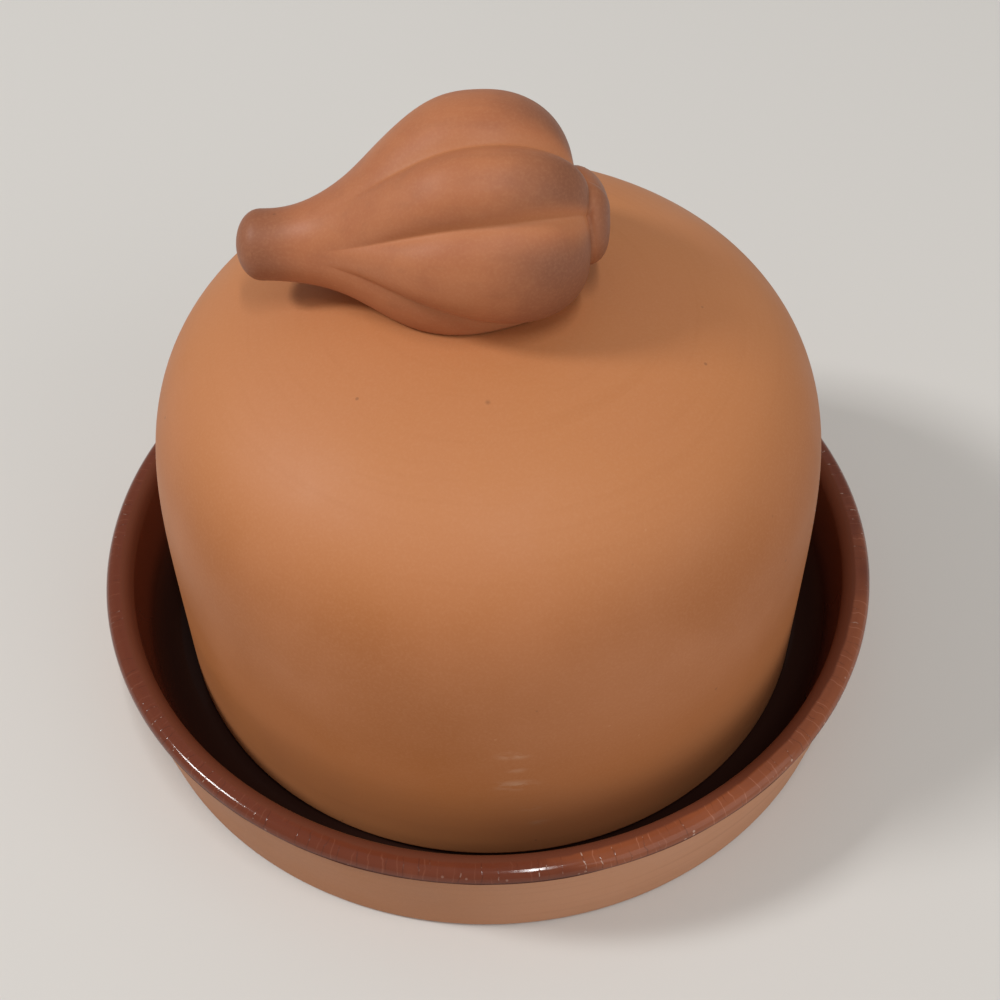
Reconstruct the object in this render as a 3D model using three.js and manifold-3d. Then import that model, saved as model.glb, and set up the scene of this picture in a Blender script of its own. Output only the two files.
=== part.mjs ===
import * as THREE from "three";
import { mergeVertices } from "three/addons/utils/BufferGeometryUtils.js";
import Module from "manifold-3d";

// Terracotta garlic roaster: a low dish, glazed inside, and a loose domed lid with a garlic-bulb knob.
// Millimetres, +Z up. The origin is the centre of the dish's foot, on the table.
const wasm = await Module();
wasm.setup();

// Dish: the outside sizes include the glaze on the lip.
const dishDiameter = 160;
const dishHeight = 27.3;
const dishLean = 8.8; // degrees that the wall opens outwards
const lipRounding = 0.9; // at the lip's outer edge
const lipFlat = 1.6;
const lipInnerRounding = 2.2;
const floorHeight = 7; // table to the clay floor inside
const wellCorner = 7;
const footRounding = 1.5;
const footRingWidth = 9;
const footRecess = 1.6;

// Glaze: one even coat over the floor, the inside wall and the lip.
const glazeThickness = 0.5;
const glazeLap = 0.9; // how far it laps down the outside, below the lip's rounding

// Lid: a hollow dome whose outline is a superellipse above a short straight skirt.
const lidClearance = 9.2; // between the lid's skirt and the inside of the dish's lip, all round
const lidOffset = 0.7; // how far the loose lid stands off the dish's axis, towards +X
const seatGap = 0.3; // between the lid's mouth and the glazed floor
const lidHeight = 90.1;
const lidWall = 6;
const skirtHeight = 6.1;
const mouthRounding = 2.2;
const crownFullness = 1.9; // the superellipse's power across: higher is flatter over the crown
const wallFullness = 6.65; // and its power upwards: higher is straighter up the wall

// Knob: a garlic bulb lying on its side, its stem to -X, flattened where it is joined to the crown.
const bulbRadius = 21.6;
const bulbOffset = 0.7; // how far the belly stands off the lid's axis, towards the stem
const bulbBack = 2; // and how far behind it, towards +Y
const bulbBedding = 8.95; // depth of the bulb cut away by the crown
const joinGap = 0.3; // the joint line between the knob and the lid
const stemReach = 43; // belly to stem end
const stemRadius = 6.35;
const stemRounding = 4.3;
const stemFullness = 2; // the superellipse's power at the stem's end
const stemSag = 5.6; // how far the stem hangs below the bulb's axis
const sagStart = 2; // distances from the belly between which the neck sags
const sagEnd = 36.9;
const neckHandle = 19.3; // reach of the curve that keeps the neck slim
const bellyHandle = 17.5; // reach of the curve that keeps the belly full towards the stem
const rootReach = 17.1; // belly to the collar where the cloves end
const rootHandle = 13.9; // reach of the curve that keeps the belly full towards the root
const cloveRounding = 3.6; // how far the cloves' ends stand up from the collar
const collarRadius = 9.1;
const rootRadius = 8.7;
const rootLength = 5.3;
const rootFullness = 2.2; // the superellipse's power over the root button

// Cloves: the creases' angles at the belly in degrees, from the top towards the front.
const creaseAngles = [13, 57, 121, 175, 235, 297];
const creaseSlants = [-0.3, -0.3, 1.45, 0, 0, 0]; // degrees that each crease turns per millimetre towards +X
const cloveOverhangs = [1.2, 1.6, 0.8, 0.6, 0, -1.2]; // how far past the collar each clove ends, in that order
const creaseNotch = 0.6; // how far the creases' ends stay behind the cloves'
const creaseDepth = 3.2;
const creaseSharpness = 1.5; // higher draws the creases finer
const creaseFadeStart = 10; // distances from the belly between which the creases fade into the neck
const creaseFadeEnd = 29;

// Fineness of the solids.
const roundSteps = 60;
const lipSteps = 4;
const domeSteps = 13;
const stepsPerClove = 7;
const roundingSteps = 4; // rings over the stem's end and the root button
const bulbSteps = 9; // rings along the neck, and along the cloves' ends

const radians = THREE.MathUtils.degToRad;
const quarter = Math.PI / 2;
const point = (x, y) => new THREE.Vector2(x, y);

// Points on an arc in radius and height, with angles from the outward direction.
function arc(centre, radius, from, to, steps) {
  const curve = new THREE.EllipseCurve(centre.x, centre.y, radius, radius, from, to, to < from);
  return curve.getPoints(steps);
}

// Points on a quarter of a superellipse, from its end on the first axis to its end on the second.
function quarterCurve(reachX, reachY, fullness, steps) {
  const points = [];
  for (let i = 0; i < steps; i++) {
    const angle = (quarter * i) / steps;
    const across = Math.cos(angle) / reachX;
    const up = Math.sin(angle) / reachY;
    const reach = (across ** fullness + up ** fullness) ** (-1 / fullness);
    points.push(point(reach * Math.cos(angle), reach * Math.sin(angle)));
  }
  points.push(point(0, reachY));
  return points;
}

// A solid of revolution about Z from an outline in radius and height.
function turned(outline) {
  return new THREE.LatheGeometry(outline, roundSteps).rotateX(quarter);
}

function solidOf(geometry) {
  const bare = geometry.clone();
  bare.deleteAttribute("normal");
  bare.deleteAttribute("uv");
  const merged = mergeVertices(bare, 1e-4);
  const vertProperties = merged.attributes.position.array;
  const triVerts = new Uint32Array(merged.index.array);
  return new wasm.Manifold(new wasm.Mesh({ numProp: 3, vertProperties, triVerts }));
}

function geometryOf(solid) {
  const mesh = solid.getMesh();
  const geometry = new THREE.BufferGeometry();
  geometry.setAttribute("position", new THREE.BufferAttribute(mesh.vertProperties, 3));
  geometry.setIndex(new THREE.BufferAttribute(mesh.triVerts, 1));
  geometry.computeVertexNormals();
  return geometry;
}

// The dish's wall: both its faces lean alike and run tangent into the roundings at their ends.
const lean = radians(dishLean);
const outward = point(Math.cos(lean), -Math.sin(lean)); // away from the axis, square to the wall
const downward = point(-Math.sin(lean), -Math.cos(lean)); // down along the wall
const lipTop = dishHeight - glazeThickness;
const lipCentre = point(dishDiameter / 2 - glazeThickness - lipRounding, lipTop - lipRounding);
const lipInnerCentre = point(lipCentre.x - lipFlat, lipTop - lipInnerRounding);
const lipOuter = lipCentre.clone().addScaledVector(outward, lipRounding);
const lipInner = lipInnerCentre.clone().addScaledVector(outward, -lipInnerRounding);
const wellRadius = lipInnerCentre.x - lipInnerRounding - glazeThickness;

// The centre of the rounding that a wall face, followed down from start, runs into at this height.
function roundingCentre(start, height, radius) {
  const end = height + radius * (1 - Math.sin(lean));
  const reached = start.clone().addScaledVector(downward, (start.y - end) / Math.cos(lean));
  return reached.addScaledVector(outward, -radius);
}

const footCentre = roundingCentre(lipOuter, 0, footRounding);
const cornerCentre = roundingCentre(lipInner, floorHeight, wellCorner);

// The glazed face, from its edge outside the lip to the middle of the floor, lifted off the clay by coat.
function glazedFace(coat) {
  const edge = lipOuter.clone().addScaledVector(downward, glazeLap);
  return [
    edge.addScaledVector(outward, coat),
    ...arc(lipCentre, lipRounding + coat, -lean, quarter, lipSteps),
    ...arc(lipInnerCentre, lipInnerRounding + coat, quarter, Math.PI - lean, lipSteps),
    ...arc(cornerCentre, wellCorner - coat, -lean, -quarter, lipSteps),
    point(0, floorHeight + coat),
  ];
}

function dishGeometry() {
  const ringInside = footCentre.x - footRingWidth;
  return turned([
    point(0, footRecess),
    point(ringInside - footRecess, footRecess),
    point(ringInside, 0),
    ...arc(footCentre, footRounding, -quarter, -lean, lipSteps),
    ...glazedFace(0),
  ]);
}

function glazeGeometry() {
  return turned([...glazedFace(0).reverse(), ...glazedFace(glazeThickness)]);
}

const lidRadius = wellRadius - lidClearance;

// The dome's face from the top of the skirt to the axis, moved off the outside by offset.
function domeFace(offset) {
  const rise = lidHeight - skirtHeight + offset;
  return Array.from({ length: domeSteps + 1 }, (_, i) => {
    const angle = quarter * (i / domeSteps) ** 3; // the cube spreads the points evenly along the wall
    const across = Math.cos(angle) ** (2 / crownFullness);
    const up = Math.sin(angle) ** (2 / wallFullness);
    return point((lidRadius + offset) * across, skirtHeight + rise * up);
  });
}

function lidGeometry() {
  const innerEdge = point(lidRadius - lidWall + mouthRounding, mouthRounding);
  const outerEdge = point(lidRadius - mouthRounding, mouthRounding);
  return turned([
    ...domeFace(-lidWall).reverse(),
    ...arc(innerEdge, mouthRounding, Math.PI, Math.PI + quarter, lipSteps),
    ...arc(outerEdge, mouthRounding, -quarter, 0, lipSteps),
    ...domeFace(0),
  ]);
}

// The bulb's outline along its axis: blunt stem, neck to belly, clove ends and root button.
function bulbOutline() {
  const stemEnd = point(-stemReach + stemRounding, stemRadius);
  const belly = point(0, bulbRadius);
  const collar = point(rootReach, collarRadius);
  const stem = quarterCurve(stemRounding, stemRadius, stemFullness, roundingSteps);
  const neck = new THREE.CubicBezierCurve(
    stemEnd,
    point(stemEnd.x + neckHandle, stemRadius),
    point(-bellyHandle, bulbRadius),
    belly,
  );
  const cloves = new THREE.CubicBezierCurve(
    belly,
    point(rootHandle, bulbRadius),
    point(rootReach, collarRadius + cloveRounding),
    collar,
  );
  const root = quarterCurve(rootLength, rootRadius, rootFullness, roundingSteps).reverse();
  return [
    ...stem.map(({ x, y }) => point(stemEnd.x - x, y)),
    ...neck.getPoints(bulbSteps).slice(1),
    ...cloves.getPoints(bulbSteps).slice(1),
    ...root.map(({ x, y }) => point(rootReach + x, y)),
  ];
}

// Directions round the bulb at x: the crease is 1 between two cloves and 0 on a crest, and the
// overhang is how far the clove's end is drawn out there.
function cloveDirections(x) {
  const slanted = creaseAngles.map((angle, i) => angle + creaseSlants[i] * Math.max(x, -creaseFadeEnd));
  return slanted.flatMap((from, clove) => {
    const to = slanted[clove + 1] ?? slanted[0] + 360;
    const own = cloveOverhangs[clove];
    const before = cloveOverhangs.at(clove - 1);
    const after = cloveOverhangs[clove + 1] ?? cloveOverhangs[0];
    return Array.from({ length: stepsPerClove }, (_, i) => {
      const along = i / stepsPerClove;
      const crease = (1 - Math.sin(Math.PI * along)) ** creaseSharpness;
      const beside = along < 0.5 ? before : after;
      const overhang = own + crease * ((beside - own) / 2 - creaseNotch);
      return { angle: radians(from + (to - from) * along), crease, overhang };
    });
  });
}

// The whole bulb as rings of points along X, with its belly at the origin.
function bulbGeometry() {
  const { smoothstep } = THREE.MathUtils;
  const rings = bulbOutline().slice(1, -1);
  const sagAt = (x) => stemSag * smoothstep(-x, sagStart, sagEnd);
  const cloveShare = (x, radius) =>
    x < rootReach || radius > rootRadius ? 1 - smoothstep(-x, creaseFadeStart, creaseFadeEnd) : 0;
  const positions = [];
  for (const { x, y: radius } of rings) {
    const depth = (creaseDepth / bulbRadius) * cloveShare(x, radius);
    const drawn = smoothstep(x, 0, rootReach) * Math.min(1, radius / collarRadius) ** 2;
    for (const { angle, crease, overhang } of cloveDirections(x)) {
      const r = radius * (1 - depth * crease);
      positions.push(x + drawn * overhang, -r * Math.sin(angle), r * Math.cos(angle) - sagAt(x));
    }
  }
  const count = creaseAngles.length * stepsPerClove;
  const stemPole = rings.length * count;
  const rootPole = stemPole + 1;
  positions.push(-stemReach, 0, -sagAt(-stemReach), rootReach + rootLength, 0, 0);
  const triangles = [];
  for (let j = 0; j < count; j++) {
    const next = (j + 1) % count;
    triangles.push(stemPole, next, j);
    for (let here = 0; here + count < stemPole; here += count) {
      const there = here + count;
      triangles.push(here + j, there + next, there + j, here + j, here + next, there + next);
    }
    triangles.push(rootPole, stemPole - count + j, stemPole - count + next);
  }
  const geometry = new THREE.BufferGeometry();
  geometry.setAttribute("position", new THREE.Float32BufferAttribute(positions, 3));
  geometry.setIndex(triangles);
  return geometry;
}

// The bulb in its place on the crown, its underside cut to the dome.
function knobGeometry() {
  const bulb = bulbGeometry().translate(-bulbOffset, bulbBack, lidHeight + bulbRadius - bulbBedding);
  const crown = turned([point(0, 0), point(lidRadius + joinGap, 0), ...domeFace(joinGap)]);
  return geometryOf(solidOf(bulb).subtract(solidOf(crown)));
}

function piece(name, geometry, color, roughness) {
  const mesh = new THREE.Mesh(geometry, new THREE.MeshStandardMaterial({ color, roughness, metalness: 0 }));
  mesh.name = name;
  return mesh;
}

const dish = new THREE.Group();
dish.add(piece("base_dish", dishGeometry(), 0xa5704e, 0.85));
dish.add(piece("dish_glaze", glazeGeometry(), 0x5b2f20, 0.15));

const lid = new THREE.Group();
lid.position.set(lidOffset, 0, floorHeight + glazeThickness + seatGap);
lid.add(piece("dome_lid", lidGeometry(), 0xbf8259, 0.85));
lid.add(piece("garlic_knob", knobGeometry(), 0xaf7051, 0.85));

const roaster = new THREE.Group();
roaster.add(dish, lid);

export default roaster;
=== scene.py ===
# Looks of a terracotta garlic roaster: a dish glazed inside, a domed lid and its garlic-bulb knob.
# Metres, +Z up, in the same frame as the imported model.
import math

import bmesh
import bpy
from mathutils import Matrix, Vector, noise


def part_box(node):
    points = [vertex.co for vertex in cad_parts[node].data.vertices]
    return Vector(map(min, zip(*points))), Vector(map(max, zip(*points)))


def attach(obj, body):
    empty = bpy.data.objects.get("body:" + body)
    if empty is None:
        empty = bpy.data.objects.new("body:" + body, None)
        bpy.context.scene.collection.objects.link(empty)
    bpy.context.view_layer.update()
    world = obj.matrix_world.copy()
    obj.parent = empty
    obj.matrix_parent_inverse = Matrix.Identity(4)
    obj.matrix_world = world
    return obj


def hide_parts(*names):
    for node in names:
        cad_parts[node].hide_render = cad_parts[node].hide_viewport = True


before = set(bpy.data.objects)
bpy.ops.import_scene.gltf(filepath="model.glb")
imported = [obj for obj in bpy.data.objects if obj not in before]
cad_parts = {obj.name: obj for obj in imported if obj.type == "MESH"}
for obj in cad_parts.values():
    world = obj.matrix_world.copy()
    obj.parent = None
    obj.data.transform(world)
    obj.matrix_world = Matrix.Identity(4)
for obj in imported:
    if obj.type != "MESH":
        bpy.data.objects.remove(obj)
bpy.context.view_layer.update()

MM = 0.001
QUARTER = math.pi / 2

# Sizes that the frame gives
glaze_low, glaze_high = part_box("dish_glaze")
lid_low, lid_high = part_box("dome_lid")
RIM_RADIUS = glaze_high.x
RIM_HEIGHT = glaze_high.z
FLOOR_HEIGHT = glaze_low.z
LID_RADIUS = (lid_high.x - lid_low.x) / 2
LID_AXIS = Vector(((lid_high.x + lid_low.x) / 2, 0, 0))
LID_MOUTH = lid_low.z
LID_CROWN = lid_high.z

# Dish and glaze
WALL_LEAN = math.radians(8.8)
LIP_ROUNDING = 1.6 * MM
LIP_FLAT = 0.9 * MM
LIP_INNER_ROUNDING = 2.2 * MM
WELL_CORNER = 7 * MM
FOOT_ROUNDING = 1.5 * MM
FOOT_RING_WIDTH = 9 * MM
FOOT_RECESS = 1.6 * MM
GLAZE_THICKNESS = 0.5 * MM
GLAZE_LAP = 0.45 * MM
GLAZE_BEAD = 0.45 * MM
GLAZE_EDGE_WAVE = 0.35 * MM
CRACK_SPACING = 3 * MM

# Lid
LID_WALL = 6 * MM
SKIRT_HEIGHT = 6.1 * MM
MOUTH_ROUNDING = 2.2 * MM
CROWN_FULLNESS = 1.9
WALL_FULLNESS = 6.65

# Knob
BULB_RADIUS = 21.6 * MM
BULB_OFFSET = 0.7 * MM
BULB_BACK = 2 * MM
BULB_BEDDING = 8.95 * MM
JOINT_LINE = 0.3 * MM
STEM_REACH = 43 * MM
STEM_RADIUS = 6.35 * MM
STEM_ROUNDING = 4.3 * MM
STEM_FULLNESS = 2
STEM_SAG = 5.6 * MM
SAG_START = 2 * MM
SAG_END = 36.9 * MM
NECK_HANDLE = 19.3 * MM
BELLY_HANDLE = 17.5 * MM
ROOT_REACH = 17.1 * MM
ROOT_HANDLE = 13.9 * MM
CLOVE_ROUNDING = 3.6 * MM
COLLAR_RADIUS = 9.1 * MM
ROOT_RADIUS = 8.7 * MM
ROOT_LENGTH = 5.3 * MM
ROOT_FULLNESS = 2.2
CREASE_ANGLES = [13, 57, 121, 175, 235, 297]
CREASE_SLANTS = [-0.3, -0.3, 1.45, 0, 0, 0]
CLOVE_OVERHANGS = [1.2, 1.6, 0.8, 0.6, 0, -1.2]
CREASE_NOTCH = 0.6
CREASE_DEPTH = 3.2 * MM
CREASE_SHARPNESS = 1.5
CREASE_SOFTNESS = 0.05
CREASE_FADE_START = 10 * MM
CREASE_FADE_END = 29 * MM
HAND_UNEVENNESS = 0.15 * MM
HAND_PATCH = 9 * MM

# Uneven roundness of the turned pieces: share of the radius, and patches for each metre
TURNED_UNEVENNESS = 0.006
DISH_PATCHES = 12.0
DISH_SEED = 3.0
LID_PATCHES = 14.0
LID_SEED = 8.0

# Fineness
STEPS_ROUND = 360
ARC_STEPS = 14
LINE_STEP = 2 * MM
DOME_STEPS = 80
BULB_STEPS = 60
STEPS_PER_CLOVE = 60

# Camera, fitted to the photograph's outlines
PHOTO_LENS = 57.6
PHOTO_SENSOR = 36
CAMERA_PLACE = Vector((2.74, -216.76, 286.34)) * MM
CAMERA_DIP = math.radians(48.8365)
CAMERA_ROLL = -0.0125


# Clay and glaze colours
def colour(red, green, blue):
    return (red, green, blue, 1)


LID_HIGH = colour(0.51, 0.197, 0.071)
# Painted shade: the dome's darker, deeper colour below the crown
LID_LOW_PAINTED_SHADE = colour(0.385, 0.128, 0.035)
LID_ROSY = colour(0.5, 0.193, 0.08)
# Painted light: the lid lighter towards its mouth
LID_FOOT_PAINTED_LIGHT = colour(0.74, 0.285, 0.105)
PALE_MARK_TONE = colour(0.6, 0.33, 0.2)
PIT = colour(0.17, 0.07, 0.035)
SAND = colour(0.6, 0.3, 0.15)
DISH_ORANGE = colour(0.41, 0.167, 0.069)
DISH_DULL = colour(0.385, 0.166, 0.078)
DISH_DEEP = colour(0.33, 0.135, 0.06)
# Painted light on the dish's right front
DISH_PAINTED_LIGHT = colour(0.5, 0.235, 0.125)
KNOB_LIGHT = colour(0.44, 0.158, 0.066)
KNOB_RED = colour(0.395, 0.133, 0.056)
KNOB_SEAM = colour(0.485, 0.188, 0.077)
FLASHED = colour(0.215, 0.078, 0.04)
LIP_BROWN = colour(0.137, 0.031, 0.013)
LIP_ORANGE = colour(0.27, 0.077, 0.03)
LIP_DULL = colour(0.15, 0.038, 0.019)
WELL_WALL = colour(0.14, 0.042, 0.022)
# Painted shade at the floor of the well
WELL_FLOOR_PAINTED_SHADE = colour(0.026, 0.01, 0.007)
GLAZE_EDGE = colour(0.07, 0.022, 0.014)
CRACK = colour(0.04, 0.011, 0.006)
PALE_CRACK = colour(0.42, 0.17, 0.1)
# Painted glints: pale highlight flecks on the glaze
PAINTED_GLINT = colour(0.6, 0.42, 0.33)

# Where the finishes change
# The painted shade below the crown runs between these two heights
LID_PAINTED_SHADE_FULL = LID_CROWN - 30 * MM
LID_PAINTED_SHADE_END = LID_CROWN - 9 * MM
PAINTED_FOOT_LIGHT_TOP = LID_MOUTH + 38 * MM
FLASH_START = -1 * MM
FLASH_END = 14 * MM
FLASH_DRIFT = 12 * MM
TIP_FLASH_START = -29 * MM
TIP_FLASH_END = -38 * MM
ROOT_FLASH_REACH = 5 * MM
# The painted shade in the well runs between these two heights
WELL_SHADE_FULL = FLOOR_HEIGHT + 1 * MM
WELL_SHADE_END = FLOOR_HEIGHT + 11 * MM
LIP_COLOUR_DRIFT = 0.8 * MM
CLAY_RELIEF = 0.035 * MM
GLAZE_RELIEF = 0.035 * MM

# Marks: azimuth in degrees, height, width and tallness in mm, strength
PALE_MARKS = [
    (-86.6, 44, 4.5, 2.0, 0.6),
    (-86.4, 34, 6, 2.4, 0.75),
    (-86, 39, 3, 1.2, 0.35),
    (-84, 25.5, 3, 1.2, 0.4),
    (-82.4, 20, 3, 1.2, 0.4),
]
MARK_DEPTH = 4 * MM
CROWN_PIT = (0.0009, -0.0278, 0.0952)
CROWN_PIT_SIZE = (0.7 * MM, 0.7 * MM, 2 * MM)
THIN_SIDE = (0.71, -0.71, 0)
PAINTED_LIGHT_SIDE = (0.5, -0.866, 0)
LIP_EDGE_RADIUS = RIM_RADIUS - GLAZE_THICKNESS - LIP_ROUNDING - LIP_FLAT
LIP_COLOUR_START = LIP_EDGE_RADIUS - 0.5 * MM
LIP_COLOUR_FULL = LIP_EDGE_RADIUS + 0.1 * MM
# Where the painted glints along the outer edge begin and are full
EDGE_GLINTS_START = RIM_RADIUS - 1.1 * MM
EDGE_GLINTS_FULL = RIM_RADIUS - 0.5 * MM
GLAZE_EDGE_HEIGHT = RIM_HEIGHT - GLAZE_THICKNESS - LIP_ROUNDING - GLAZE_LAP
DARK_EDGE_FULL = GLAZE_EDGE_HEIGHT + 0.1 * MM
DARK_EDGE_END = GLAZE_EDGE_HEIGHT + 0.9 * MM


# Node helpers

def put(tree, kind, inputs=None, out=0, **settings):
    """Adds a node, sets or links its inputs and returns one of its output sockets."""
    node = tree.nodes.new(kind)
    for name, value in settings.items():
        setattr(node, name, value)
    for key, value in (inputs or {}).items():
        if isinstance(value, bpy.types.NodeSocket):
            tree.links.new(value, node.inputs[key])
        else:
            node.inputs[key].default_value = value
    return node.outputs[out]


def maths(tree, operation, first, second=0.0, clamp=False):
    return put(tree, "ShaderNodeMath", {0: first, 1: second}, operation=operation, use_clamp=clamp)


def vectors(tree, operation, first, second=(0, 0, 0)):
    return put(tree, "ShaderNodeVectorMath", {0: first, 1: second}, operation=operation)


def scaled(tree, vector, factor):
    return put(tree, "ShaderNodeVectorMath", {0: vector, "Scale": factor}, operation="SCALE")


def ramp(tree, value, low, high, start=0.0, end=1.0):
    """A smooth step from start to end as value goes from low to high."""
    inputs = {"Value": value, "From Min": low, "From Max": high, "To Min": start, "To Max": end}
    return put(tree, "ShaderNodeMapRange", inputs, interpolation_type="SMOOTHSTEP")


def mixed(tree, factor, first, second, blend="MIX"):
    """Two colours mixed by a factor."""
    inputs = {0: factor, 6: first, 7: second}
    return put(tree, "ShaderNodeMix", inputs, out=2, data_type="RGBA", blend_type=blend)


def grain(tree, vector, per_metre, detail=2.0, roughness=0.5):
    inputs = {"Vector": vector, "Scale": per_metre, "Detail": detail, "Roughness": roughness}
    return put(tree, "ShaderNodeTexNoise", inputs)


# Turned pieces: one node tree turns a profile line about Z

def turning_tree():
    tree = bpy.data.node_groups.new("turned_clay", "GeometryNodeTree")
    sockets = {}
    for name, kind in (
        ("Profile", "NodeSocketGeometry"),
        ("Steps Round", "NodeSocketInt"),
        ("Unevenness", "NodeSocketFloat"),
        ("Patches Per Metre", "NodeSocketFloat"),
        ("Axis", "NodeSocketVector"),
        ("Edge Wave", "NodeSocketFloat"),
        ("Wall Lean", "NodeSocketFloat"),
        ("Seed", "NodeSocketFloat"),
        ("Material", "NodeSocketMaterial"),
    ):
        sockets[name] = tree.interface.new_socket(name, in_out="INPUT", socket_type=kind).identifier
    tree.interface.new_socket("Piece", in_out="OUTPUT", socket_type="NodeSocketGeometry")
    given = tree.nodes.new("NodeGroupInput").outputs
    profile = given["Profile"]

    # A grid with a row for each profile point and a column for each step round
    rows = put(tree, "GeometryNodeAttributeDomainSize", {"Geometry": profile}, component="MESH")
    columns = maths(tree, "ADD", given["Steps Round"], 1)
    size = {"Size X": 1, "Size Y": 1, "Vertices X": rows, "Vertices Y": columns}
    sheet = put(tree, "GeometryNodeMeshGrid", size)
    place = put(tree, "GeometryNodeInputPosition")
    spot = tree.nodes.new("ShaderNodeSeparateXYZ")
    tree.links.new(place, spot.inputs[0])
    last_row = maths(tree, "SUBTRACT", rows, 1)
    row_share = maths(tree, "ADD", spot.outputs["X"], 0.5)
    row = maths(tree, "ROUND", maths(tree, "MULTIPLY", row_share, last_row))
    turn = maths(tree, "MULTIPLY", maths(tree, "ADD", spot.outputs["Y"], 0.5), -2 * math.pi)
    across = put(tree, "ShaderNodeCombineXYZ",
                 {"X": maths(tree, "COSINE", turn), "Y": maths(tree, "SINE", turn)})

    # The glaze's edge runs a little higher or lower round the wall
    lap = put(tree, "GeometryNodeInputNamedAttribute", {"Name": "lap"}, data_type="FLOAT")
    lap_here = put(tree, "GeometryNodeSampleIndex", {"Geometry": profile, "Value": lap, "Index": row},
                   data_type="FLOAT", domain="POINT")
    ripple = put(tree, "ShaderNodeTexNoise",
                 {"Vector": across, "W": given["Seed"], "Scale": 5, "Detail": 2}, noise_dimensions="4D")
    swing = maths(tree, "MULTIPLY", maths(tree, "SUBTRACT", ripple, 0.5), given["Edge Wave"])
    drop = maths(tree, "MULTIPLY", maths(tree, "MULTIPLY", swing, 4), lap_here)
    drawn_in = maths(tree, "MULTIPLY", drop, maths(tree, "TANGENT", given["Wall Lean"]))

    # Radius and height of the profile point, swept round
    point = put(tree, "GeometryNodeSampleIndex", {"Geometry": profile, "Value": place, "Index": row},
                data_type="FLOAT_VECTOR", domain="POINT")
    outline = tree.nodes.new("ShaderNodeSeparateXYZ")
    tree.links.new(point, outline.inputs[0])
    radius = maths(tree, "SUBTRACT", outline.outputs["X"], drawn_in)
    height = maths(tree, "SUBTRACT", outline.outputs["Z"], drop)
    swept = vectors(tree, "ADD", scaled(tree, across, radius),
                    put(tree, "ShaderNodeCombineXYZ", {"Z": height}))
    shell = put(tree, "GeometryNodeSetPosition", {"Geometry": sheet, "Position": swept})
    closed = put(tree, "GeometryNodeMergeByDistance", {"Geometry": shell, "Distance": 1e-6})

    # Hand-turned clay is never quite round
    patches = put(tree, "ShaderNodeTexNoise", {
        "Vector": place, "W": given["Seed"], "Scale": given["Patches Per Metre"], "Detail": 1,
    }, noise_dimensions="4D")
    level = vectors(tree, "MULTIPLY", place, (1, 1, 0))
    flat_share = maths(tree, "SUBTRACT", patches, 0.3, clamp=True)
    shrink = maths(tree, "MULTIPLY", maths(tree, "MULTIPLY", flat_share, given["Unevenness"]), -1)
    moved = vectors(tree, "ADD", scaled(tree, level, shrink), given["Axis"])
    uneven = put(tree, "GeometryNodeSetPosition", {"Geometry": closed, "Offset": moved})
    smooth = put(tree, "GeometryNodeSetShadeSmooth", {"Geometry": uneven})
    real = put(tree, "GeometryNodeRealizeInstances", {"Geometry": smooth})
    finished = put(tree, "GeometryNodeSetMaterial", {"Geometry": real, "Material": given["Material"]})
    tree.links.new(finished, tree.nodes.new("NodeGroupOutput").inputs[0])
    return tree, sockets


TURNING, TURNING_SOCKETS = turning_tree()


def outward_faces(mesh):
    """Merges doubles and turns every face of a closed mesh outwards."""
    work = bmesh.new()
    work.from_mesh(mesh)
    bmesh.ops.remove_doubles(work, verts=work.verts, dist=1e-6)
    bmesh.ops.recalc_face_normals(work, faces=work.faces)
    work.to_mesh(mesh)
    work.free()


def turned_piece(name, profile, material, lap=None, **sizes):
    """Turns a profile of (radius, height) points about Z into a plain mesh object."""
    mesh = bpy.data.meshes.new(name)
    lines = [(i, i + 1) for i in range(len(profile) - 1)]
    mesh.from_pydata([(radius, 0, height) for radius, height in profile], lines, [])
    if lap:
        mesh.attributes.new("lap", "FLOAT", "POINT").data.foreach_set("value", lap)
    piece = bpy.data.objects.new(name, mesh)
    bpy.context.collection.objects.link(piece)
    modifier = piece.modifiers.new("turned", "NODES")
    modifier.node_group = TURNING
    inputs = {"Steps Round": STEPS_ROUND, "Edge Wave": 0.0, "Wall Lean": WALL_LEAN, "Material": material}
    for label, value in {**inputs, **sizes}.items():
        modifier[TURNING_SOCKETS[label]] = value
    evaluated = piece.evaluated_get(bpy.context.evaluated_depsgraph_get())
    result = bpy.data.meshes.new_from_object(evaluated)
    piece.modifiers.clear()
    piece.data = result
    outward_faces(result)
    return piece


# Profiles

def arc(centre, radius, start, end, steps=ARC_STEPS):
    angles = [start + (end - start) * i / steps for i in range(steps + 1)]
    return [centre + radius * Vector((math.cos(angle), math.sin(angle))) for angle in angles]


def line(start, end):
    """Evenly spaced points between two others, without the two."""
    count = max(1, round((end - start).length / LINE_STEP))
    return [start.lerp(end, i / count) for i in range(1, count)]


OUTWARD = Vector((math.cos(WALL_LEAN), -math.sin(WALL_LEAN)))
DOWNWARD = Vector((-math.sin(WALL_LEAN), -math.cos(WALL_LEAN)))
LIP_CENTRE = Vector((RIM_RADIUS, RIM_HEIGHT)) - Vector((1, 1)) * (GLAZE_THICKNESS + LIP_ROUNDING)
LIP_INNER_CENTRE = LIP_CENTRE + Vector((-LIP_FLAT, LIP_ROUNDING - LIP_INNER_ROUNDING))
LIP_OUTER = LIP_CENTRE + OUTWARD * LIP_ROUNDING
LIP_INNER = LIP_INNER_CENTRE - OUTWARD * LIP_INNER_ROUNDING


def rounding_centre(start, height, radius):
    """Centre of the rounding that the wall, followed down from start, runs into at this height."""
    end = height + radius * (1 - math.sin(WALL_LEAN))
    return start + DOWNWARD * ((start.y - end) / math.cos(WALL_LEAN)) - OUTWARD * radius


FOOT_CENTRE = rounding_centre(LIP_OUTER, 0, FOOT_ROUNDING)
CORNER_CENTRE = rounding_centre(LIP_INNER, FLOOR_HEIGHT, WELL_CORNER)


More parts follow.
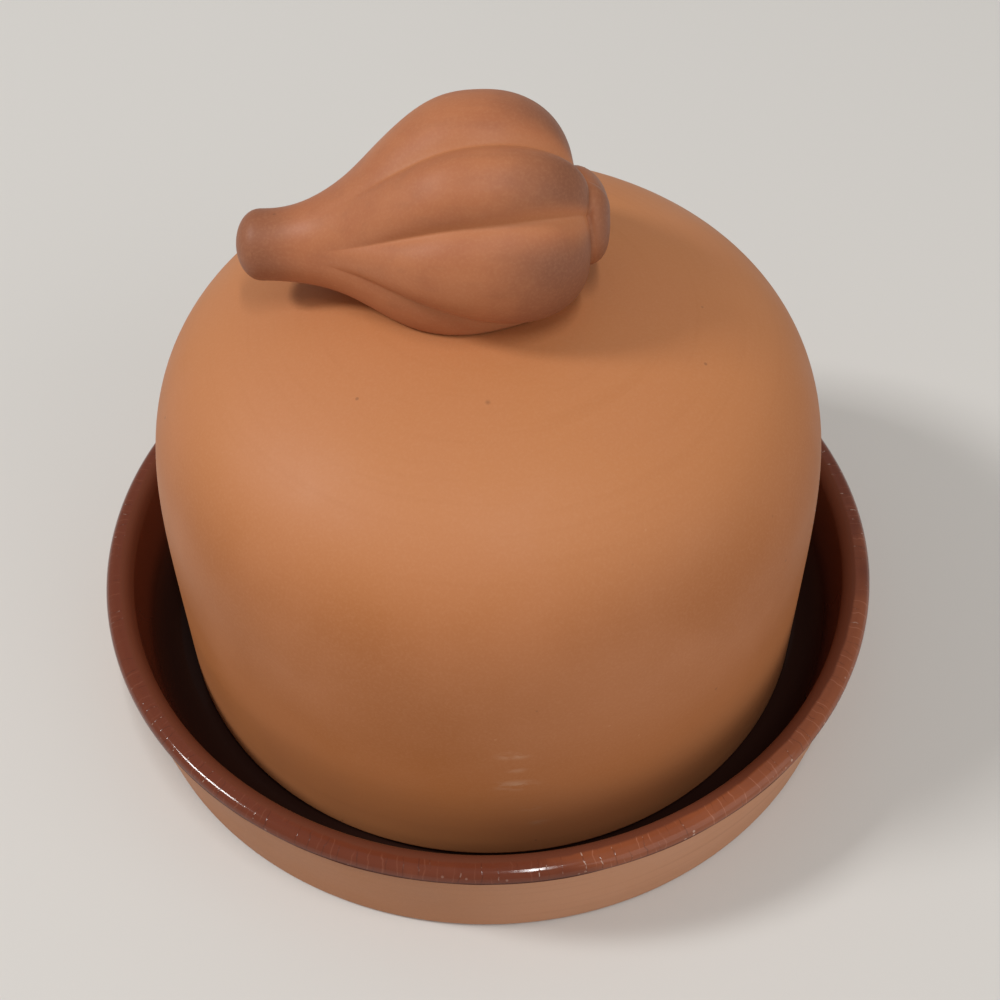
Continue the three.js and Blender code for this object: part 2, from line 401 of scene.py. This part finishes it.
def glazed_face(coat):
    """The face under the glaze, or its top, from the lip's outer side to the middle of the floor."""
    corner = arc(CORNER_CENTRE, WELL_CORNER - coat, -WALL_LEAN, -QUARTER)
    lip = arc(LIP_CENTRE, LIP_ROUNDING + coat, -WALL_LEAN, QUARTER)
    lip += arc(LIP_INNER_CENTRE, LIP_INNER_ROUNDING + coat, QUARTER, math.pi - WALL_LEAN)
    middle = Vector((0, FLOOR_HEIGHT + coat))
    return lip + line(lip[-1], corner[0]) + corner + line(corner[-1], middle) + [middle]


def dish_profile():
    ring_inside = Vector((FOOT_CENTRE.x - FOOT_RING_WIDTH, 0))
    recess = Vector((ring_inside.x - FOOT_RECESS, FOOT_RECESS))
    middle = Vector((0, FOOT_RECESS))
    foot = arc(FOOT_CENTRE, FOOT_ROUNDING, -QUARTER, -WALL_LEAN)
    under = [middle] + line(middle, recess) + [recess, ring_inside] + line(ring_inside, foot[0])
    return under + foot + line(foot[-1], LIP_OUTER) + glazed_face(0)


def glaze_profile():
    """The glaze's profile, and for each point how far it follows the uneven edge."""
    edge = LIP_OUTER + DOWNWARD * (GLAZE_LAP - GLAZE_BEAD)
    bead = []
    for i in range(ARC_STEPS + 1):
        angle = QUARTER * i / ARC_STEPS
        lift = OUTWARD * GLAZE_THICKNESS * math.sin(angle)
        bead.append(edge + DOWNWARD * GLAZE_BEAD * math.cos(angle) + lift)
    under = glazed_face(0)[::-1]
    over = glazed_face(GLAZE_THICKNESS)
    points = under + bead + over
    edge_top = LIP_CENTRE.y + LIP_ROUNDING / 2
    reach = edge_top - edge.y
    lap = []
    for point in points:
        outside = point.x > LIP_CENTRE.x
        lap.append(min(1.0, max(0.0, (edge_top - point.y) / reach)) if outside else 0.0)
    return points, lap


def quarter_curve(reach_x, reach_y, fullness, steps):
    """A quarter of a superellipse, from its end on the first axis to its end on the second."""
    points = []
    for i in range(steps):
        angle = QUARTER * i / steps
        across = math.cos(angle) / reach_x
        up = math.sin(angle) / reach_y
        reach = (across ** fullness + up ** fullness) ** (-1 / fullness)
        points.append(Vector((reach * math.cos(angle), reach * math.sin(angle))))
    return points + [Vector((0, reach_y))]


def dome_face(inset):
    """The dome's face from the top of the skirt to the axis, moved in from the outside."""
    skirt_top = LID_MOUTH + SKIRT_HEIGHT
    face = []
    for i in range(DOME_STEPS):
        angle = QUARTER * (i / DOME_STEPS) ** 3
        across = (LID_RADIUS - inset) * math.cos(angle) ** (2 / CROWN_FULLNESS)
        up = (LID_CROWN - inset - skirt_top) * math.sin(angle) ** (2 / WALL_FULLNESS)
        face.append(Vector((across, skirt_top + up)))
    return face + [Vector((0, LID_CROWN - inset))]


def lid_profile():
    mouth = LID_MOUTH + MOUTH_ROUNDING
    inner_edge = Vector((LID_RADIUS - LID_WALL + MOUTH_ROUNDING, mouth))
    outer_edge = Vector((LID_RADIUS - MOUTH_ROUNDING, mouth))
    rounding = arc(inner_edge, MOUTH_ROUNDING, math.pi, math.pi + QUARTER)
    rounding += arc(outer_edge, MOUTH_ROUNDING, -QUARTER, 0)
    return dome_face(LID_WALL)[::-1] + rounding[:-1] + dome_face(0)


# Garlic knob

def smoothstep(value, low, high):
    share = min(1.0, max(0.0, (value - low) / (high - low)))
    return share * share * (3 - 2 * share)


def bezier(first, second, third, fourth, steps):
    points = []
    for i in range(1, steps + 1):
        t = i / steps
        near = first * (1 - t) ** 3 + second * 3 * t * (1 - t) ** 2
        points.append(near + third * 3 * t ** 2 * (1 - t) + fourth * t ** 3)
    return points


def bulb_outline():
    """Points along the bulb's axis with their radius, from the stem's end to the root's."""
    stem_end = Vector((STEM_ROUNDING - STEM_REACH, STEM_RADIUS))
    belly = Vector((0, BULB_RADIUS))
    collar = Vector((ROOT_REACH, COLLAR_RADIUS))
    stem_round = quarter_curve(STEM_ROUNDING, STEM_RADIUS, STEM_FULLNESS, ARC_STEPS)
    stem = [Vector((stem_end.x - point.x, point.y)) for point in stem_round]
    neck_handle, belly_handle = Vector((NECK_HANDLE, 0)), Vector((BELLY_HANDLE, 0))
    neck = bezier(stem_end, stem_end + neck_handle, belly - belly_handle, belly, BULB_STEPS)
    root_handle, clove_handle = Vector((ROOT_HANDLE, 0)), Vector((0, CLOVE_ROUNDING))
    cloves = bezier(belly, belly + root_handle, collar + clove_handle, collar, BULB_STEPS)
    root_round = quarter_curve(ROOT_LENGTH, ROOT_RADIUS, ROOT_FULLNESS, ARC_STEPS)
    root = [Vector((ROOT_REACH + point.x, point.y)) for point in reversed(root_round)]
    return stem + neck + cloves + root


def clove_directions(along):
    """Directions round the bulb: the angle, 1 on a crease to 0 on a crest, and the overhang."""
    turned_for = max(along, -CREASE_FADE_END) / MM
    creases = [angle + slant * turned_for for angle, slant in zip(CREASE_ANGLES, CREASE_SLANTS)]
    following = creases[1:] + [creases[0] + 360]
    beyond = CLOVE_OVERHANGS[1:] + CLOVE_OVERHANGS[:1]
    directions = []
    for clove, own in enumerate(CLOVE_OVERHANGS):
        for i in range(STEPS_PER_CLOVE):
            share = i / STEPS_PER_CLOVE
            rise = math.hypot(math.sin(math.pi * share), CREASE_SOFTNESS) - CREASE_SOFTNESS
            crest = math.hypot(1, CREASE_SOFTNESS) - CREASE_SOFTNESS
            crease = (1 - rise / crest) ** CREASE_SHARPNESS
            beside = CLOVE_OVERHANGS[clove - 1] if share < 0.5 else beyond[clove]
            overhang = (own + crease * ((beside - own) / 2 - CREASE_NOTCH)) * MM
            angle = creases[clove] + (following[clove] - creases[clove]) * share
            directions.append((math.radians(angle), crease, overhang))
    return directions


def dome_height(radius):
    """Height of the dome's outside at a radius from its axis."""
    rise = LID_CROWN - LID_MOUTH - SKIRT_HEIGHT
    share = max(0.0, 1 - (radius / LID_RADIUS) ** CROWN_FULLNESS)
    return LID_MOUTH + SKIRT_HEIGHT + rise * share ** (1 / WALL_FULLNESS)


def garlic_knob(material):
    """The bulb as rings along X, hand-smoothed, its underside bedded on the dome."""
    axis_height = LID_CROWN + BULB_RADIUS - BULB_BEDDING
    work = bmesh.new()
    raised_layer = work.verts.layers.float.new("raised")
    root_layer = work.verts.layers.float.new("root")
    rings = []
    for along, radius in bulb_outline():
        sag = STEM_SAG * smoothstep(-along, SAG_START, SAG_END)
        axis = Vector((LID_AXIS.x - BULB_OFFSET, BULB_BACK, axis_height - sag))
        on_cloves = along < ROOT_REACH or radius > ROOT_RADIUS
        depth = 1 - smoothstep(-along, CREASE_FADE_START, CREASE_FADE_END) if on_cloves else 0.0
        drawn = smoothstep(along, 0, ROOT_REACH) * min(1, radius / COLLAR_RADIUS) ** 2
        ring = []
        for angle, crease, overhang in clove_directions(along):
            reach = radius * (1 - CREASE_DEPTH / BULB_RADIUS * crease * depth)
            forward = along + drawn * overhang
            spot = axis + Vector((forward, -reach * math.sin(angle), reach * math.cos(angle)))
            inwards = (spot - axis) * Vector((0.3, 1, 1))
            if inwards.length > 0:
                spot -= inwards.normalized() * HAND_UNEVENNESS * (1 + noise.noise(spot / HAND_PATCH))
            spot.z = max(spot.z, dome_height((spot - LID_AXIS).xy.length) + JOINT_LINE)
            vertex = work.verts.new(spot)
            vertex[raised_layer] = 1 - crease * depth
            vertex[root_layer] = 0.0 if on_cloves else 1.0
            ring.append(vertex)
        rings.append(ring)
    count = len(rings[0])
    for ring, following in zip(rings, rings[1:]):
        for i in range(count):
            j = (i + 1) % count
            work.faces.new((ring[i], following[i], following[j], ring[j])).smooth = True
    mesh = bpy.data.meshes.new("garlic_bulb_knob")
    work.to_mesh(mesh)
    work.free()
    outward_faces(mesh)
    mesh.materials.append(material)
    knob = bpy.data.objects.new("garlic_bulb_knob", mesh)
    bpy.context.collection.objects.link(knob)
    return knob


# Finishes

def new_material(name):
    """A material with its tree, its surface shader and its object coordinates."""
    material = bpy.data.materials.new(name)
    material.use_nodes = True
    tree = material.node_tree
    surface = tree.nodes["Principled BSDF"]
    place = put(tree, "ShaderNodeTexCoord", out=3)
    return material, tree, surface, place


def round_place(tree, place):
    """The spot's distance from the axis, its height and its direction round the axis."""
    level = vectors(tree, "MULTIPLY", place, (1, 1, 0))
    radius = put(tree, "ShaderNodeVectorMath", {0: level}, out=1, operation="LENGTH")
    height = put(tree, "ShaderNodeSeparateXYZ", {0: place}, out=2)
    return radius, height, vectors(tree, "NORMALIZE", level)


def towards(tree, direction, side):
    """1 where the direction points to a side, 0 across it."""
    return put(tree, "ShaderNodeVectorMath", {0: direction, 1: side}, out=1, operation="DOT_PRODUCT")


def patch(tree, place, centre, size, turn=0.0):
    """1 in the middle of an egg-shaped patch, falling to 0 at its edge."""
    inputs = {"Vector": place, "Location": centre, "Rotation": (0, 0, turn), "Scale": size}
    local = put(tree, "ShaderNodeMapping", inputs, vector_type="TEXTURE")
    away = put(tree, "ShaderNodeVectorMath", {0: local}, out=1, operation="LENGTH")
    return ramp(tree, away, 0, 1, 1, 0)


def specks(tree, place, per_metre, size, share):
    """1 on scattered specks: one in each cell of a pattern, kept in a share of the cells."""
    pattern = tree.nodes.new("ShaderNodeTexVoronoi")
    pattern.inputs["Scale"].default_value = per_metre
    tree.links.new(place, pattern.inputs["Vector"])
    near = ramp(tree, pattern.outputs["Distance"], size * 0.5, size, 1, 0)
    chance = put(tree, "ShaderNodeSeparateColor", {"Color": pattern.outputs["Color"]})
    kept = maths(tree, "LESS_THAN", chance, share)
    return maths(tree, "MULTIPLY", near, kept)


def turning_rings(tree, place, per_metre):
    """Faint rings left by turning: long streaks round the axis, stacked along the outline."""
    radius, height, direction = round_place(tree, place)
    along = maths(tree, "MULTIPLY", maths(tree, "SUBTRACT", height, radius), per_metre)
    streaked = vectors(tree, "ADD", direction, put(tree, "ShaderNodeCombineXYZ", {"Z": along}))
    return grain(tree, streaked, 1, detail=3)


def fired_clay(name, roughness, streaks, streak_share=0.8):
    """Bare terracotta: sandy relief and streaks; its colour is left to the caller."""
    material, tree, surface, place = new_material(name)
    sand = grain(tree, place, 1900, detail=3, roughness=0.6)
    relief = maths(tree, "ADD", sand, maths(tree, "MULTIPLY", streaks(tree, place), streak_share))
    bump = {"Height": relief, "Strength": 0.5, "Distance": CLAY_RELIEF}
    tree.links.new(put(tree, "ShaderNodeBump", bump), surface.inputs["Normal"])
    worn = grain(tree, place, 45, detail=3)
    polish = ramp(tree, worn, 0.3, 0.7, roughness - 0.05, roughness + 0.05)
    tree.links.new(polish, surface.inputs["Roughness"])
    surface.inputs["Specular IOR Level"].default_value = 0.3
    return material, tree, surface, place, sand


def sandy(tree, tone, sand, place):
    """Adds pale sand, small pits and pale specks to a clay's colour."""
    tone = mixed(tree, ramp(tree, sand, 0.4, 0.75, 0, 0.12), tone, SAND)
    pits = specks(tree, place, 130, 0.055, 0.5)
    tone = mixed(tree, maths(tree, "MULTIPLY", pits, 0.45), tone, PIT)
    grit = specks(tree, vectors(tree, "ADD", place, (0.5, 0.2, 0.1)), 150, 0.05, 0.4)
    return mixed(tree, maths(tree, "MULTIPLY", grit, 0.3), tone, SAND)


def lid_rings(tree, place):
    return turning_rings(tree, place, 420)


def lid_clay():
    """The dome: orange terracotta with painted shade below the crown, painted light at its foot, and pale
    marks.
    """
    material, tree, surface, place, sand = fired_clay("lid_clay", 0.52, lid_rings)
    height = put(tree, "ShaderNodeSeparateXYZ", {0: place}, out=2)
    clouds = grain(tree, place, 20, detail=3, roughness=0.55)
    # Painted shade: darker and deeper in colour below the crown
    tone = mixed(tree, ramp(tree, height, LID_PAINTED_SHADE_FULL, LID_PAINTED_SHADE_END), LID_LOW_PAINTED_SHADE, LID_HIGH)
    # Painted light: lighter towards the mouth, up to the foot's top height
    tone = mixed(tree, ramp(tree, height, LID_MOUTH, PAINTED_FOOT_LIGHT_TOP, 1, 0), tone, LID_FOOT_PAINTED_LIGHT)
    tone = mixed(tree, ramp(tree, clouds, 0.36, 0.66, 0, 0.5), tone, LID_ROSY)
    tone = mixed(tree, ramp(tree, lid_rings(tree, place), 0.5, 0.75, 0, 0.1), tone, LID_LOW_PAINTED_SHADE)
    tone = sandy(tree, tone, sand, place)
    flattened = vectors(tree, "MULTIPLY", place, (300, 300, 900))
    mark_streaks = ramp(tree, grain(tree, flattened, 1, detail=3), 0.38, 0.58)
    # Pale streaked marks on the dome's lower front
    for azimuth, mark_height, width, tall, share in PALE_MARKS:
        turn = math.radians(azimuth)
        centre = LID_AXIS + Vector((math.cos(turn), math.sin(turn), 0)) * LID_RADIUS
        centre.z = mark_height * MM
        mark = patch(tree, place, centre, (MARK_DEPTH, width * MM, tall * MM), turn)
        pale_mark_share = maths(tree, "MULTIPLY", maths(tree, "MULTIPLY", mark, mark_streaks), share)
        tone = mixed(tree, pale_mark_share, tone, PALE_MARK_TONE)
    pit = patch(tree, place, CROWN_PIT, CROWN_PIT_SIZE)
    tone = mixed(tree, maths(tree, "MULTIPLY", pit, 0.45), tone, PIT)
    tree.links.new(tone, surface.inputs["Base Color"])
    return material


def dish_rings(tree, place):
    return turning_rings(tree, place, 700)


def dish_clay():
    """The dish's outside: duller terracotta with turning streaks, and painted light on the right front.
    """
    material, tree, surface, place, sand = fired_clay("dish_clay", 0.6, dish_rings)
    clouds = grain(tree, place, 26, detail=3, roughness=0.55)
    tone = mixed(tree, ramp(tree, clouds, 0.34, 0.68), DISH_ORANGE, DISH_DULL)
    direction = round_place(tree, place)[2]
    # Painted light: the right front lighter
    tone = mixed(tree, ramp(tree, towards(tree, direction, PAINTED_LIGHT_SIDE), 0.75, 1), tone, DISH_PAINTED_LIGHT)
    tone = mixed(tree, ramp(tree, dish_rings(tree, place), 0.48, 0.75, 0, 0.3), tone, DISH_DEEP)
    tone = sandy(tree, tone, sand, place)
    tree.links.new(tone, surface.inputs["Base Color"])
    return material


def smoothing_strokes(tree, place):
    """Faint strokes along the bulb, from smoothing it by hand."""
    return grain(tree, vectors(tree, "MULTIPLY", place, (60, 420, 420)), 1, detail=3)


def knob_clay():
    """The bulb: redder terracotta, flashed brown on the clove ends, the stem's tip and the root."""
    material, tree, surface, place, sand = fired_clay("knob_clay", 0.5, smoothing_strokes, streak_share=2)
    along = put(tree, "ShaderNodeSeparateXYZ", {0: place}, out=0)
    raised = put(tree, "ShaderNodeAttribute", out=2, attribute_name="raised")
    root = put(tree, "ShaderNodeAttribute", out=2, attribute_name="root")
    clouds = grain(tree, place, 75, detail=3, roughness=0.55)
    drift = maths(tree, "MULTIPLY", maths(tree, "SUBTRACT", clouds, 0.5), FLASH_DRIFT)
    drifted = maths(tree, "ADD", along, drift)
    tone = mixed(tree, ramp(tree, clouds, 0.34, 0.68), KNOB_LIGHT, KNOB_RED)
    tone = mixed(tree, ramp(tree, smoothing_strokes(tree, place), 0.5, 0.72, 0, 0.12), tone, FLASHED)
    tone = mixed(tree, ramp(tree, raised, 0.05, 0.5, 0.6, 0), tone, KNOB_SEAM)
    near_ends = ramp(tree, drifted, FLASH_START, FLASH_END)
    on_ends = maths(tree, "MULTIPLY", near_ends, ramp(tree, raised, 0.3, 0.95))
    on_ends = maths(tree, "MULTIPLY", on_ends, maths(tree, "SUBTRACT", 1, root))
    tone = mixed(tree, maths(tree, "MULTIPLY", on_ends, 0.85), tone, FLASHED)
    on_tip = ramp(tree, drifted, TIP_FLASH_END, TIP_FLASH_START, 0.7, 0)
    tone = mixed(tree, on_tip, tone, FLASHED)
    near_root = ramp(tree, along, ROOT_REACH, ROOT_REACH + ROOT_FLASH_REACH, 0, 0.9)
    on_root = maths(tree, "MULTIPLY", root, near_root)
    tone = mixed(tree, on_root, tone, FLASHED)
    tone = sandy(tree, tone, sand, place)
    tree.links.new(tone, surface.inputs["Base Color"])
    return material


def crazing(tree, place, direction, shift):
    """1 on fine cracks that run across the lip at uneven distances; each shift gives another set."""
    place = vectors(tree, "ADD", place, (shift, 0, 0))
    level = tree.nodes.new("ShaderNodeSeparateXYZ")
    tree.links.new(direction, level.inputs[0])
    back = maths(tree, "MULTIPLY", level.outputs["Y"], -1)
    turn = maths(tree, "ARCTAN2", level.outputs["X"], back)
    along = maths(tree, "MULTIPLY", turn, RIM_RADIUS / CRACK_SPACING)
    bends = maths(tree, "MULTIPLY", grain(tree, place, 300, detail=2), 0.7)
    crooked = maths(tree, "ADD", maths(tree, "ADD", along, shift), bends)
    edge = put(tree, "ShaderNodeTexVoronoi", {"W": crooked, "Scale": 1},
               voronoi_dimensions="1D", feature="DISTANCE_TO_EDGE")
    crack = ramp(tree, edge, 0.012, 0.05, 1, 0)
    seen = ramp(tree, grain(tree, place, 210, detail=2), 0.4, 0.58)
    return maths(tree, "MULTIPLY", crack, seen)


def brown_glaze():
    """Clear brown glaze: thin, warm and crazed over the lip, with painted glints on it, and painted shade
    darkening the well towards its floor.
    """
    material, tree, surface, place = new_material("brown_glaze")
    radius, height, direction = round_place(tree, place)
    clouds = grain(tree, place, 55, detail=3)
    swing = maths(tree, "SUBTRACT", grain(tree, direction, 14, detail=3), 0.5)
    inside = maths(tree, "ADD", radius, maths(tree, "MULTIPLY", swing, LIP_COLOUR_DRIFT))

    # Painted shade: the well's brown darkens towards its floor
    tone = mixed(tree, ramp(tree, height, WELL_SHADE_FULL, WELL_SHADE_END), WELL_FLOOR_PAINTED_SHADE, WELL_WALL)

    # Warm brown over the lip, more orange where the coat ran thin
    run_thin = towards(tree, direction, THIN_SIDE)
    thin = ramp(tree, maths(tree, "ADD", run_thin, maths(tree, "SUBTRACT", clouds, 0.5)), 0.65, 0.95)
    lip = mixed(tree, thin, LIP_BROWN, LIP_ORANGE)
    lip = mixed(tree, ramp(tree, clouds, 0.35, 0.7, 0, 0.35), lip, LIP_DULL)
    over_lip = ramp(tree, inside, LIP_COLOUR_START, LIP_COLOUR_FULL)
    tone = mixed(tree, over_lip, tone, lip)

    # Dark and pale cracks, painted glints along the cracks and along the outer edge, and the dark line
    # along the glaze's lower edge
    cracks = maths(tree, "MULTIPLY", crazing(tree, place, direction, 0.0), over_lip)
    tone = mixed(tree, maths(tree, "MULTIPLY", cracks, 0.35), tone, CRACK)
    marked = maths(tree, "MULTIPLY", over_lip, maths(tree, "MAXIMUM", thin, 0.3))
    pale = maths(tree, "MULTIPLY", crazing(tree, place, direction, 0.37), marked)
    tone = mixed(tree, maths(tree, "MULTIPLY", pale, 0.5), tone, PALE_CRACK)
    gathered = ramp(tree, grain(tree, place, 30, detail=1), 0.46, 0.58)
    glint_breaks = ramp(tree, grain(tree, place, 1100, detail=2), 0.56, 0.64)
    # Painted glints in short pieces along the cracks
    crack_glints = maths(tree, "MULTIPLY", maths(tree, "MULTIPLY", cracks, glint_breaks), gathered)
    tone = mixed(tree, maths(tree, "MULTIPLY", crack_glints, 0.6), tone, PAINTED_GLINT)
    on_edge = ramp(tree, radius, EDGE_GLINTS_START, EDGE_GLINTS_FULL)
    # Painted glints scattered along the outer edge
    scattered_glints = specks(tree, place, 700, 0.24, 0.3)
    edge_glints = maths(tree, "MULTIPLY", scattered_glints, maths(tree, "MULTIPLY", on_edge, marked))
    tone = mixed(tree, maths(tree, "MULTIPLY", edge_glints, 0.6), tone, PAINTED_GLINT)
    low_down = ramp(tree, height, DARK_EDGE_FULL, DARK_EDGE_END, 0.9, 0)
    edge = maths(tree, "MULTIPLY", low_down, over_lip)
    tone = mixed(tree, edge, tone, GLAZE_EDGE)
    tree.links.new(tone, surface.inputs["Base Color"])

    # Glossy, a little wavy, dull at the cracks, the painted crack glints and the edge
    flaws = maths(tree, "MAXIMUM", cracks, crack_glints)
    dull = maths(tree, "MAXIMUM", maths(tree, "MULTIPLY", flaws, 0.3), edge)
    tree.links.new(ramp(tree, dull, 0, 1, 0.1, 0.8), surface.inputs["Roughness"])
    shine = ramp(tree, over_lip, 0, 1, 0.05, 0.35)
    shine = maths(tree, "MULTIPLY", shine, maths(tree, "SUBTRACT", 1, edge))
    surface.inputs["Specular IOR Level"].default_value = 0.3
    tree.links.new(shine, surface.inputs["Specular IOR Level"])
    waves = grain(tree, place, 320, detail=2)
    relief = maths(tree, "SUBTRACT", waves, maths(tree, "MULTIPLY", flaws, 0.6))
    bump = {"Height": relief, "Strength": 0.4, "Distance": GLAZE_RELIEF}
    tree.links.new(put(tree, "ShaderNodeBump", bump), surface.inputs["Normal"])
    return material


# The roaster

glaze = brown_glaze()
clay_of_dish = dish_clay()
clay_of_lid = lid_clay()

dish_turning = {"Unevenness": TURNED_UNEVENNESS, "Patches Per Metre": DISH_PATCHES, "Seed": DISH_SEED}
dish = turned_piece("dish_body", dish_profile(), clay_of_dish, **dish_turning)
glaze_points, glaze_lap = glaze_profile()
glaze_turning = {**dish_turning, "Edge Wave": GLAZE_EDGE_WAVE}
coat = turned_piece("glaze_coat", glaze_points, glaze, lap=glaze_lap, **glaze_turning)
lid_turning = {"Unevenness": TURNED_UNEVENNESS, "Patches Per Metre": LID_PATCHES, "Seed": LID_SEED}
lid = turned_piece("lid_dome", lid_profile(), clay_of_lid, **lid_turning, Axis=LID_AXIS)
knob = garlic_knob(knob_clay())

for piece, node, body, slot in (
    (dish, "base_dish", "dish", "dish_clay"),
    (coat, "dish_glaze", "dish", "brown_glaze"),
    (lid, "dome_lid", "lid", "lid_clay"),
    (knob, "garlic_knob", "lid", "knob_clay"),
):
    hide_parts(node)
    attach(piece, body)


# Table, light and camera

TABLE_HALF = 3.0
TABLE_TONE = colour(0.66, 0.64, 0.61)
ROOM_TONE = colour(1.0, 0.98, 0.95)
LIGHT_AIM = Vector((0, 0, 0.05))


def table():
    mesh = bpy.data.meshes.new("table")
    corners = [(x * TABLE_HALF, y * TABLE_HALF, 0) for x, y in ((-1, -1), (1, -1), (1, 1), (-1, 1))]
    mesh.from_pydata(corners, [], [(0, 1, 2, 3)])
    top = bpy.data.objects.new("table", mesh)
    bpy.context.collection.objects.link(top)
    material, _, surface, _ = new_material("pale_table")
    surface.inputs["Base Color"].default_value = TABLE_TONE
    surface.inputs["Roughness"].default_value = 0.9
    mesh.materials.append(material)


def soft_light(name, place, along, power, length, width):
    """A rectangular lamp that faces the roaster, with its length along a direction."""
    lamp = bpy.data.lights.new(name, "AREA")
    lamp.shape = "RECTANGLE"
    lamp.size = length
    lamp.size_y = width
    lamp.energy = power
    light = bpy.data.objects.new(name, lamp)
    back = (Vector(place) - LIGHT_AIM).normalized()
    side = Vector(along)
    side = (side - back * side.dot(back)).normalized()
    turned = Matrix((side, back.cross(side), back)).transposed()
    light.matrix_world = Matrix.Translation(place) @ turned.to_4x4()
    bpy.context.collection.objects.link(light)


def room_light(strength):
    world = bpy.data.worlds.new("soft_room")
    world.use_nodes = True
    background = world.node_tree.nodes["Background"]
    background.inputs["Color"].default_value = ROOM_TONE
    background.inputs["Strength"].default_value = strength
    bpy.context.scene.world = world


def photo_camera():
    """A camera at the photograph's viewing angle."""
    forward = Vector((0, math.cos(CAMERA_DIP), -math.sin(CAMERA_DIP)))
    level = Vector((1, 0, 0))
    upright = level.cross(forward)
    right = math.cos(CAMERA_ROLL) * level + math.sin(CAMERA_ROLL) * upright
    up = math.cos(CAMERA_ROLL) * upright - math.sin(CAMERA_ROLL) * level
    lens = bpy.data.cameras.new("photo_camera")
    lens.sensor_width = PHOTO_SENSOR
    lens.lens = PHOTO_LENS
    lens.clip_start = 0.01
    camera = bpy.data.objects.new("photo_camera", lens)
    turned = Matrix((right, up, -forward)).transposed().to_4x4()
    camera.matrix_world = Matrix.Translation(CAMERA_PLACE) @ turned
    bpy.context.collection.objects.link(camera)
    bpy.context.scene.camera = camera


table()
soft_light("overhead_tube", place=(0.235, -0.8, 2.15), along=(-0.11, 0.994, 0),
           power=14, length=0.9, width=0.1)
soft_light("left_window", place=(-1.32, -0.125, 1.405), along=(0.64, -0.54, 0.54),
           power=16.5, length=0.4, width=0.3)
soft_light("front_fill", place=(1.6, -1.25, 0.9), along=(0, 0, 1), power=11, length=2, width=2)
room_light(strength=0.36)
photo_camera()
bpy.context.scene.view_settings.view_transform = "Standard"
